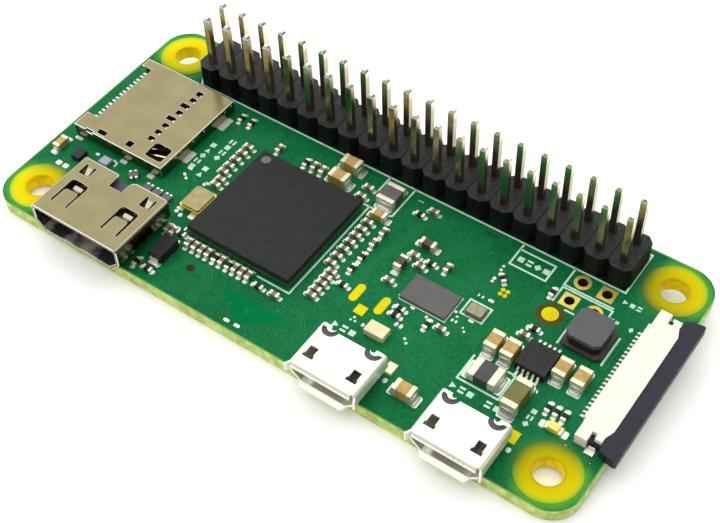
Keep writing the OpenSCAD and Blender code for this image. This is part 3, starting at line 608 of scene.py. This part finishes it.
def add_line(bm, points, width, z, thick):
    """A printed line or track: mitred segments of one width along the points."""
    pts = [Vector(p) for p in points]
    closed = len(pts) > 2 and (pts[0] - pts[-1]).length < 1e-6
    if closed:
        pts = pts[:-1]
    n = len(pts)
    left, right = [], []
    for i, p in enumerate(pts):
        before = (p - pts[i - 1]) if (i or closed) else None
        after = (pts[(i + 1) % n] - p) if (i < n - 1 or closed) else None
        dirs = [d.normalized() for d in (before, after) if d is not None]
        along = sum(dirs, Vector((0, 0))).normalized()
        side = Vector((-along.y, along.x))
        reach = width / 2 / max(0.4, side.dot(Vector((-dirs[0].y, dirs[0].x))))
        left.append(p + side * reach)
        right.append(p - side * reach)
    rows = []
    for l, r in zip(left, right):
        rows.append([bm.verts.new(place(l.x, l.y, z)), bm.verts.new(place(l.x, l.y, z + thick)),
                     bm.verts.new(place(r.x, r.y, z + thick)), bm.verts.new(place(r.x, r.y, z))])
    for i in range(n if closed else n - 1):
        a, b = rows[i], rows[(i + 1) % n]
        for k in range(4):
            bm.faces.new((a[k], a[(k + 1) % 4], b[(k + 1) % 4], b[k]))
    if not closed:
        bm.faces.new(rows[0])
        bm.faces.new(list(reversed(rows[-1])))


def circle(x, y, r, steps=24):
    """The points of a circle about x and y."""
    return [(x + r * math.cos(2 * math.pi * k / steps), y + r * math.sin(2 * math.pi * k / steps))
            for k in range(steps)]


def soft_box(x, y, w, h, turn=0.0, corner=0.12):
    """A rectangle with clipped corners, about its centre, turned in degrees."""
    a, b = w / 2, h / 2
    c = min(corner, a * 0.6, b * 0.6)
    pts = [(-a + c, -b), (a - c, -b), (a, -b + c), (a, b - c), (a - c, b), (-a + c, b),
           (-a, b - c), (-a, -b + c)]
    s, co = math.sin(math.radians(turn)), math.cos(math.radians(turn))
    return [(x + p * co - q * s, y + p * s + q * co) for p, q in pts]


# ---- Printed lines ----

PRINT_W, PRINT_Z, PRINT_T = 0.2, 0.004, 0.018
OUTLINES = [
    [(7.6, 23.8), (57.9, 23.8), (57.9, 29.2), (7.1, 29.2), (7.1, 24.7), (7.6, 23.8)],
    [(52.75, 23.8), (52.75, 21.55), (57.9, 21.55)],
    [(52.8, 19.3), (52.8, 21.27), (57.95, 21.27), (57.95, 20.5)],
    [(54.2, 19.0), (55.25, 19.0)],
    [(47.25, 23.8), (47.25, 20.92), (51.1, 20.92), (51.1, 22.98), (47.25, 22.98)],
    [(28.55, 6.45), (32.3, 6.45), (32.3, 19.45)], [(31.6, 19.45), (33.0, 19.45)],
    [(31.85, 21.6), (31.85, 23.8)], [(34.5, 19.45), (34.85, 19.65), (34.85, 23.8)],
    [(40.8, 12.15), (41.1, 11.72), (45.92, 11.72), (45.92, 14.95)],
    [(46.55, 13.45), (48.82, 13.45), (48.82, 15.3), (46.55, 15.3), (46.55, 13.45)],
    [(55.5, 15.35), (55.5, 19.0)], [(59.92, 15.35), (59.92, 19.0)],
    [(50.15, 10.2), (50.15, 7.25), (54.35, 7.25), (54.35, 10.25), (53.5, 10.25)],
    [(7.22, 10.23), (7.87, 10.07), (7.9, 9.55)],
]


def printed_lines(finishes):
    """The white printed outlines."""
    bm = bmesh.new()
    for line in OUTLINES:
        add_line(bm, line, PRINT_W, PRINT_Z, PRINT_T)
    add_piece("printed_lines", bm, finishes["print_white"])


def add_mark_row(bm, x, y, height, shapes, turn=0.0):
    """A row of plain printed signs, one for each name in shapes: block, diamond, arrow or dashes."""
    s, co = math.sin(math.radians(turn)), math.cos(math.radians(turn))
    step, w = height * 0.86, height * 0.3
    mid, dash = height / 2, height * 0.12

    def block(low, high):
        return [(-w, low), (w, low), (w, high), (-w, high)]

    outlines = {
        "block": [block(mid - w, mid + w)],
        "diamond": [[(-w * 1.25, mid), (0, mid - w * 1.25), (w * 1.25, mid), (0, mid + w * 1.25)]],
        "arrow": [[(-w, mid - w * 1.1), (w, mid), (-w, mid + w * 1.1)]],
        "dashes": [block(mid - w * 0.75 - dash, mid - w * 0.75 + dash),
                   block(mid + w * 0.75 - dash, mid + w * 0.75 + dash)],
    }
    for k, shape in enumerate(shapes.split()):
        for outline in outlines[shape]:
            turned = [(x + (p + k * step) * co - q * s, y + (p + k * step) * s + q * co)
                      for p, q in outline]
            add_plate(bm, turned, PRINT_Z, PRINT_T)


def printed_marks(finishes):
    """Plain signs where a board of this kind has printed words beside its sockets."""
    bm = bmesh.new()
    add_mark_row(bm, 14.85, 14.05, 1.0, "block dashes diamond arrow block", 90)
    add_mark_row(bm, 16.25, 13.6, 1.0, "arrow block", 90)
    add_mark_row(bm, 16.25, 16.3, 1.0, "diamond dashes block dashes", 90)
    add_mark_row(bm, 37.95, 5.5, 1.05, "arrow dashes block")
    add_mark_row(bm, 50.35, 5.85, 1.0, "arrow dashes block")
    add_mark_row(bm, 53.9, 5.85, 1.0, "dashes block")
    add_mark_row(bm, 57.95, 6.5, 0.85, "diamond dashes block", 90)
    add_mark_row(bm, 58.45, 22.42, 0.8, "arrow block dashes")
    add_mark_row(bm, 58.35, 20.05, 0.6, "dashes block")
    add_mark_row(bm, 47.95, 21.4, 1.05, "block dashes diamond block")
    add_plate(bm, [(60.3, 19.98), (60.55, 20.3), (60.3, 20.62), (60.05, 20.3)], PRINT_Z, PRINT_T)
    add_piece("printed_marks", bm, finishes["print_white"])


# ---- Pads and solder ----

def solids_of(node):
    """The centre and size of each separate solid of a node, in metres."""
    data = NODES[node].data
    keys, owner = {}, []

    def root(i):
        while owner[i] != i:
            owner[i] = owner[owner[i]]
            i = owner[i]
        return i

    where = []
    for v in data.vertices:
        key = tuple(round(c * 1e7) for c in v.co)
        if key not in keys:
            keys[key] = len(owner)
            owner.append(len(owner))
        where.append(keys[key])
    for face in data.polygons:
        first = root(where[face.vertices[0]])
        for v in face.vertices[1:]:
            owner[root(where[v])] = first
    groups = {}
    for v, w in zip(data.vertices, where):
        groups.setdefault(root(w), []).append(v.co)
    out = []
    for points in groups.values():
        low = Vector(min(p[i] for p in points) for i in range(3))
        high = Vector(max(p[i] for p in points) for i in range(3))
        out.append(((low + high) / 2, high - low))
    return out


def add_fillet(bm, x, y, turn, width, height, reach):
    """Solder that climbs a chip's end: local X points away from the chip, x and y are its foot."""
    steps = [(-0.02, 0.85), (0.10, 0.55), (0.30, 0.28), (0.60, 0.12), (1.0, 0.05)]
    s, co = math.sin(math.radians(turn)), math.cos(math.radians(turn))
    rings = []
    for part, rise in steps:
        d = reach * part
        half = width / 2 * (1.0 if part < 0.7 else 0.9)
        top = max(0.03, height * rise)
        ring = []
        for side, z in ((-half, 0.0), (-half, top * 0.6), (-half * 0.7, top), (half * 0.7, top),
                        (half, top * 0.6), (half, 0.0)):
            ring.append(bm.verts.new(place(x + d * co - side * s, y + d * s + side * co, z)))
        rings.append(ring)
    for a, b in zip(rings, rings[1:]):
        for k in range(6):
            bm.faces.new((a[k], b[k], b[(k + 1) % 6], a[(k + 1) % 6]))
    bm.faces.new(rings[0])
    bm.faces.new(list(reversed(rings[-1])))


# node of the middles, node of the ends, chip length, end length, width, height, solder reach
CHIP_KINDS = [
    ("small_capacitors", "small_capacitor_ends", 1.0, 0.27, 0.5, 0.5, 0.28),
    ("small_resistors", "small_resistor_ends", 1.0, 0.25, 0.5, 0.35, 0.27),
    ("medium_capacitors", "medium_capacitor_ends", 1.6, 0.35, 0.8, 0.8, 0.45),
    ("large_capacitors", "large_capacitor_ends", 2.0, 0.45, 1.25, 1.25, 0.5),
    ("bulk_capacitor", "bulk_capacitor_ends", 3.2, 0.55, 1.55, 1.5, 0.55),
    ("supply_capacitor", "supply_capacitor_ends", 2.4, 0.5, 1.95, 1.0, 0.45),
    ("input_fuse", "input_fuse_ends", 2.8, 0.7, 2.1, 1.0, 0.5),
    ("status_light", "status_light_ends", 1.6, 0.3, 0.8, 0.3, 0.5),
]


def chip_solder(finishes):
    """A pad and a solder fillet at each end of every two-ended chip."""
    pads, solder = bmesh.new(), bmesh.new()
    for middles, ends, length, end, width, height, reach in CHIP_KINDS:
        end_places = [c for c, _ in solids_of(ends)]
        for centre, _ in solids_of(middles):
            for p in end_places:
                away = (p - centre).xy / MM
                if abs(away.length - (length - end) / 2) > 0.03:
                    continue
                turn = math.degrees(math.atan2(away.y, away.x))
                out = away.normalized()
                mid = Vector((centre.x / MM + BOARD_L / 2, centre.y / MM + BOARD_W / 2))
                foot = mid + out * length / 2
                pad = mid + out * (length / 2 + reach / 2 - 0.05)
                add_plate(pads, soft_box(pad.x, pad.y, reach + 0.26, width + 0.02, turn), 0.002, 0.03)
                add_fillet(solder, foot.x, foot.y, turn, width * 0.88, height * 0.75, reach * 0.8)
    add_piece("chip_pads", pads, finishes["pad_tin"])
    add_piece("chip_solder", solder, finishes["solder"], smooth=True)


# y of the middle, pitch and number of the camera connector's tails
CAMERA_Y, CAMERA_PITCH, CAMERA_WAYS = 15.13, 0.5, 22
# y of the first, pitch and number of the card slot's tails
CARD_Y, CARD_PITCH, CARD_WAYS = 13.7, 1.1, 8
# x of the first, pitch and number of the power chip's leads on a side, and the y of both sides
LEAD_X, LEAD_PITCH, LEAD_WAYS, LEAD_SIDES = 54.2, 0.5, 5, (10.35, 14.6)

# x, y, width, height, turn
LOOSE_PADS = [
    (2.2, 10.62, 0.95, 0.4, 0), (8.25, 10.62, 0.85, 0.5, 0), (11.85, 10.62, 0.8, 0.6, 0),
    (13.45, 20.5, 0.8, 1.9, 0), (13.4, 14.8, 0.7, 1.7, 0), (2.85, 6.9, 0.65, 0.6, 0),
    (3.75, 6.9, 0.65, 0.6, 0), (5.35, 9.95, 0.5, 0.35, 0), (40.05, 7.32, 0.35, 0.4, 0),
    (42.5, 9.1, 0.34, 0.5, 0), (43.0, 9.1, 0.34, 0.5, 0), (29.42, 0.82, 0.66, 0.36, 0),
    (30.6, 0.84, 0.66, 0.36, 0), (46.9, 16.1, 0.15, 0.35, 0), (47.35, 16.1, 0.2, 0.35, 0),
    (48.2, 16.15, 0.6, 0.35, 0), (46.2, 13.3, 0.32, 0.32, 0), (47.9, 13.15, 0.6, 0.3, 0),
    (46.6, 12.88, 0.3, 0.2, 0), (46.42, 12.32, 0.24, 0.36, 0), (46.82, 12.32, 0.24, 0.36, 0),
    (44.3, 11.3, 0.3, 0.35, 0), (46.95, 10.75, 0.2, 0.5, 0), (42.7, 11.5, 0.5, 0.4, 0),
    (61.4, 6.35, 0.14, 0.5, 0), (20.05, 2.25, 0.35, 0.6, 0), (20.1, 1.2, 0.3, 0.5, 0),
    (19.25, 7.2, 0.2, 0.5, 0), (17.1, 8.95, 0.8, 0.35, 0), (17.0, 8.5, 0.45, 0.4, 20),
    (17.65, 8.3, 0.4, 0.5, 20), (18.7, 8.8, 0.7, 0.8, 0), (17.05, 12.75, 0.4, 0.4, 0),
    (14.5, 12.75, 0.5, 0.3, -35), (14.95, 12.4, 0.4, 0.3, -35), (14.45, 13.65, 0.6, 0.3, 0),
    (36.15, 22.8, 0.6, 0.12, 0), (52.55, 15.2, 0.3, 0.2, 0), (56.7, 9.85, 0.16, 0.4, 20),
]
CORNER_VIA = (63.96, 6.11)
# x, y, radius
LOOSE_DOTS = [
    (*CORNER_VIA, 0.07), (44.03, 8.15, 0.16), (44.4, 7.8, 0.16), (47.02, 20.3, 0.16), (47.05, 19.8, 0.17),
    (47.05, 18.6, 0.2), (47.05, 18.2, 0.17), (47.7, 12.1, 0.12), (48.0, 11.78, 0.13),
    (38.9, 7.62, 0.15), (38.75, 7.2, 0.13), (39.2, 7.28, 0.13), (17.15, 12.95, 0.2),
]


def loose_pads(finishes):
    """Bare tinned pads that stand beside the sockets or carry no chip."""
    bm = bmesh.new()
    for x, y, w, h, turn in LOOSE_PADS:
        add_plate(bm, soft_box(x, y, w, h, turn, 0.1), 0.002, 0.035)
    for x, y, r in LOOSE_DOTS:
        add_plate(bm, circle(x, y, r, 16), 0.002, 0.035)
    for k in range(CAMERA_WAYS):
        y = CAMERA_Y + (k - (CAMERA_WAYS - 1) / 2) * CAMERA_PITCH
        add_plate(bm, soft_box(61.1, y, 0.36, 0.25, 0, 0.05), 0.002, 0.03)
    for k in range(CARD_WAYS):
        for side in (-0.25, 0.25):
            y = CARD_Y + k * CARD_PITCH + side
            add_plate(bm, soft_box(1.5, y, 0.44, 0.29, 0, 0.06), 0.002, 0.09)
    for y in LEAD_SIDES:
        for k in range(LEAD_WAYS):
            add_plate(bm, soft_box(LEAD_X + k * LEAD_PITCH, y, 0.26, 0.6, 0, 0.05), 0.002, 0.03)
    add_piece("loose_pads", bm, finishes["pad_tin"])


DATA_X, POWER_X = 41.45, 54.0
FOOT_X, FOOT_Y = 3.66, 3.41
BEAD_SIDES, BEAD_RINGS = 9, ((0.27, 0.0), (0.25, 0.04), (0.17, 0.09), (0.09, 0.10))


def add_bead(bm, x, y):
    """A low, slightly uneven bead of solder."""
    rings = []
    for k, (r, z) in enumerate(BEAD_RINGS):
        uneven = 0.04 * (-1) ** k
        rings.append([bm.verts.new(place(*p, z)) for p in circle(x, y + uneven, r, BEAD_SIDES)])
    for a, b in zip(rings, rings[1:]):
        for k in range(BEAD_SIDES):
            bm.faces.new((a[k], a[(k + 1) % BEAD_SIDES], b[(k + 1) % BEAD_SIDES], b[k]))
    bm.faces.new(rings[-1])
    bm.faces.new(list(reversed(rings[0])))


def port_solder(finishes):
    """A small bead of solder at the foot of each port's side walls, and solder on the data port's pad."""
    bm = bmesh.new()
    for port in (DATA_X, POWER_X):
        for side in (-1, 1):
            add_bead(bm, port + side * FOOT_X, FOOT_Y)
    add_piece("port_solder", bm, finishes["pad_tin"])
    bm = bmesh.new()
    add_plate(bm, soft_box(DATA_X + 3.33, 4.78, 0.9, 1.2), 0.042, 0.05)
    add_piece("port_tinning", bm, finishes["cream_end"])


DISC_AT, BROWN_VIA, MEMORY_DOT = (53.4, 17.85), (22.75, 3.72), (20.98, 17.85)
ANTENNA_AREA = [(26.3, 3.85), (29.9, 1.15), (30.6, 1.15), (34.2, 3.85)]


def laminate_marks(finishes):
    """Bare laminate round the alignment disc, the antenna area, brown vias and the memory's dot."""
    bm = bmesh.new()
    add_plate(bm, circle(*DISC_AT, 1.35, 40), 0.001, 0.012)
    add_piece("alignment_ring", bm, finishes["bare_laminate"])
    bm = bmesh.new()
    add_plate(bm, ANTENNA_AREA, 0.001, 0.004)
    add_piece("antenna_area", bm, finishes["mask_patch"])
    bm = bmesh.new()
    add_plate(bm, circle(*BROWN_VIA, 0.42, 20), 0.001, 0.012)
    add_plate(bm, circle(*CORNER_VIA, 0.17, 20), 0.0005, 0.0012)
    add_piece("open_vias", bm, finishes["hole_brown"])
    bm = bmesh.new()
    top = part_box("memory_package")[1].z / MM - BOARD_T
    add_plate(bm, circle(*MEMORY_DOT, 0.5, 28), top - 0.004, 0.012)
    add_piece("memory_corner_dot", bm, finishes["dot_grey"])


# ---- Tracks and vias under the mask ----

def beside(points, offset):
    """The same route, moved sideways by an offset all along, to its left for a positive one."""
    pts = [Vector(p) for p in points]
    runs = [(b - a).normalized() for a, b in zip(pts, pts[1:])]
    moved = []
    for i, p in enumerate(pts):
        near = [runs[k] for k in (i - 1, i) if 0 <= k < len(runs)]
        side = sum((Vector((-d.y, d.x)) for d in near), Vector((0, 0))).normalized()
        moved.append(p + side * offset / side.dot(Vector((-near[0].y, near[0].x))))
    return moved


def bundle(points, count, gap):
    """Parallel tracks side by side along one route."""
    return [beside(points, gap * k) for k in range(count)]


def track_lines():
    """Routes of the widest track bundles, kept clear of the chips' pads."""
    lines = []
    lines += bundle([(36.2, 8.0), (36.2, 14.6), (37.4, 18.4), (37.4, 20.4)], 4, -0.28)
    lines += bundle([(41.6, 17.6), (44.6, 20.6), (44.6, 23.3)], 5, 0.3)
    lines += bundle([(49.6, 10.8), (49.6, 15.2), (51.9, 17.5), (51.9, 19.6)], 3, 0.3)
    lines += bundle([(60.4, 15.0), (60.4, 19.2)], 2, 0.3)
    lines += bundle([(21.4, 4.7), (24.4, 4.7), (25.4, 3.7), (25.4, 0.8)], 3, -0.32)
    lines += bundle([(32.2, 5.3), (34.8, 5.3), (35.9, 4.2), (35.9, 0.8)], 2, -0.32)
    lines += bundle([(43.6, 8.4), (46.2, 8.4), (47.2, 7.4), (49.0, 7.4)], 3, 0.3)
    lines += bundle([(16.5, 20.2), (18.5, 20.2), (19.3, 21.0), (19.3, 23.0)], 3, 0.3)
    lines += bundle([(42.4, 15.9), (45.2, 15.9), (46.0, 16.7), (46.0, 19.9)], 3, 0.3)
    lines += bundle([(8.2, 23.3), (14.0, 23.3)], 2, -0.3)
    lines += bundle([(38.6, 20.2), (41.2, 22.8), (46.2, 22.8)], 3, 0.28)
    lines += bundle([(31.6, 22.9), (27.2, 22.9)], 1, 0.3)
    return lines


VIA_COUNT, VIA_GAP = 90, 0.5
VIA_X, VIA_Y, VIA_R = (1.5, 60.5), (1.0, 23.3), (0.13, 0.16, 0.2)


def tracks_and_vias(finishes):
    """Tracks under the mask of the top face, and vias scattered where nothing stands."""
    bm = bmesh.new()
    for line in track_lines():
        add_line(bm, line, 0.14, 0.0005, 0.005)
    blocked = []
    for node in NODES:
        if node in ("circuit_board", "header_solder"):
            continue
        low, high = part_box(node)
        whole = (high - low).x < 0.02
        blocked += [((low + high) / 2, high - low)] if whole else solids_of(node)
    placed = 0
    while placed < VIA_COUNT:
        x, y = random.uniform(*VIA_X), random.uniform(*VIA_Y)
        p = place(x, y)
        if any(abs(p.x - c.x) < s.x / 2 + VIA_GAP * MM and abs(p.y - c.y) < s.y / 2 + VIA_GAP * MM
               for c, s in blocked):
            continue
        add_plate(bm, circle(x, y, random.choice(VIA_R), 14), 0.0005, 0.006)
        placed += 1
    add_piece("mask_tracks", bm, finishes["mask_track"])


def underside_tracks(finishes):
    """Tracks under the mask of the board's underside."""
    bm = bmesh.new()
    for line in track_lines():
        flipped = [(BOARD_L - x, y) for x, y in line]
        add_line(bm, flipped, 0.13, -BOARD_T - 0.0065, 0.006)
    add_piece("underside_tracks", bm, finishes["mask_track"])


# ---- Stage, light and camera ----

CAMERA_AT = Vector((0.050743, -0.065523, 0.097714))
CAMERA_ALONG = Vector((-0.38171, 0.51044, -0.77055))
CAMERA_UP = Vector((-0.43095, 0.63923, 0.63692))
CAMERA_LENS = 66.44


def make_camera():
    """The camera, at the photograph's viewing angle."""
    data = bpy.data.cameras.new("camera")
    data.sensor_width = 36.0
    data.sensor_fit = "HORIZONTAL"
    data.lens = CAMERA_LENS
    data.clip_start, data.clip_end = 0.001, 10.0
    cam = bpy.data.objects.new("camera", data)
    bpy.context.scene.collection.objects.link(cam)
    along = CAMERA_ALONG.normalized()
    right = along.cross(CAMERA_UP).normalized()
    up = right.cross(along).normalized()
    turn = Matrix((right, up, -along)).transposed().to_4x4()
    cam.matrix_world = Matrix.Translation(CAMERA_AT) @ turn
    bpy.context.scene.camera = cam


FLOOR_HALF, FLOOR_GAP = 1.5, 0.00002


def make_floor():
    """A plain pale floor, sloped so that the front row of tails and the board's front edge rest on it."""
    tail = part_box("header_pins")[0]
    rear_y, rear_z = tail.y + PIN_W / 2 * MM, tail.z
    front_y, front_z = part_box("circuit_board")[0].y, 0.0
    slope = (rear_z - front_z) / (rear_y - front_y)
    bm = bmesh.new()
    signs = ((-1, -1), (1, -1), (1, 1), (-1, 1))
    corners = [(FLOOR_HALF * i, FLOOR_HALF * j) for i, j in signs]
    verts = [bm.verts.new((x, y, front_z + slope * (y - front_y) - FLOOR_GAP)) for x, y in corners]
    bm.faces.new(verts)
    data = bpy.data.meshes.new("floor")
    bm.to_mesh(data)
    bm.free()
    floor = bpy.data.objects.new("floor", data)
    bpy.context.scene.collection.objects.link(floor)
    paper = surface("floor_white", (0.90, 0.90, 0.89), 0, 0.7, 0.01, 8, 0.01)
    glow = next(n for n in paper.node_tree.nodes if n.type == "BSDF_PRINCIPLED")
    glow.inputs["Emission Color"].default_value = (1.0, 1.0, 0.97, 1.0)
    glow.inputs["Emission Strength"].default_value = 0.12
    data.materials.append(paper)


KEY_ALONG = (-0.52, 0.38, 0.765)
ROOM_DARK, ROOM_BRIGHT = 0.12, 1.9


def make_light():
    """A wide soft light from behind and above on the left, fading to a dim room in front."""
    world = bpy.data.worlds.new("room")
    bpy.context.scene.world = world
    world.use_nodes = True
    tree = world.node_tree
    back = tree.nodes["Background"]
    back.inputs["Color"].default_value = (1.0, 1.0, 1.0, 1.0)
    coords = tree.nodes.new("ShaderNodeTexCoord")
    dot = tree.nodes.new("ShaderNodeVectorMath")
    dot.operation = "DOT_PRODUCT"
    dot.inputs[1].default_value = KEY_ALONG
    tree.links.new(coords.outputs["Generated"], dot.inputs[0])
    fade = tree.nodes.new("ShaderNodeMapRange")
    fade.interpolation_type = "SMOOTHSTEP"
    for name, value in (("From Min", -0.25), ("From Max", 0.95), ("To Min", ROOM_DARK),
                        ("To Max", ROOM_BRIGHT)):
        fade.inputs[name].default_value = value
    tree.links.new(dot.outputs["Value"], fade.inputs["Value"])
    tree.links.new(fade.outputs["Result"], back.inputs["Strength"])


def main():
    """Builds every look on the board, then the floor, the light and the camera."""
    finishes = make_materials()
    finish_nodes(finishes)
    printed_lines(finishes)
    printed_marks(finishes)
    chip_solder(finishes)
    loose_pads(finishes)
    port_solder(finishes)
    laminate_marks(finishes)
    tracks_and_vias(finishes)
    underside_tracks(finishes)
    make_floor()
    make_light()
    make_camera()
    bpy.context.scene.view_settings.view_transform = "Standard"


main()
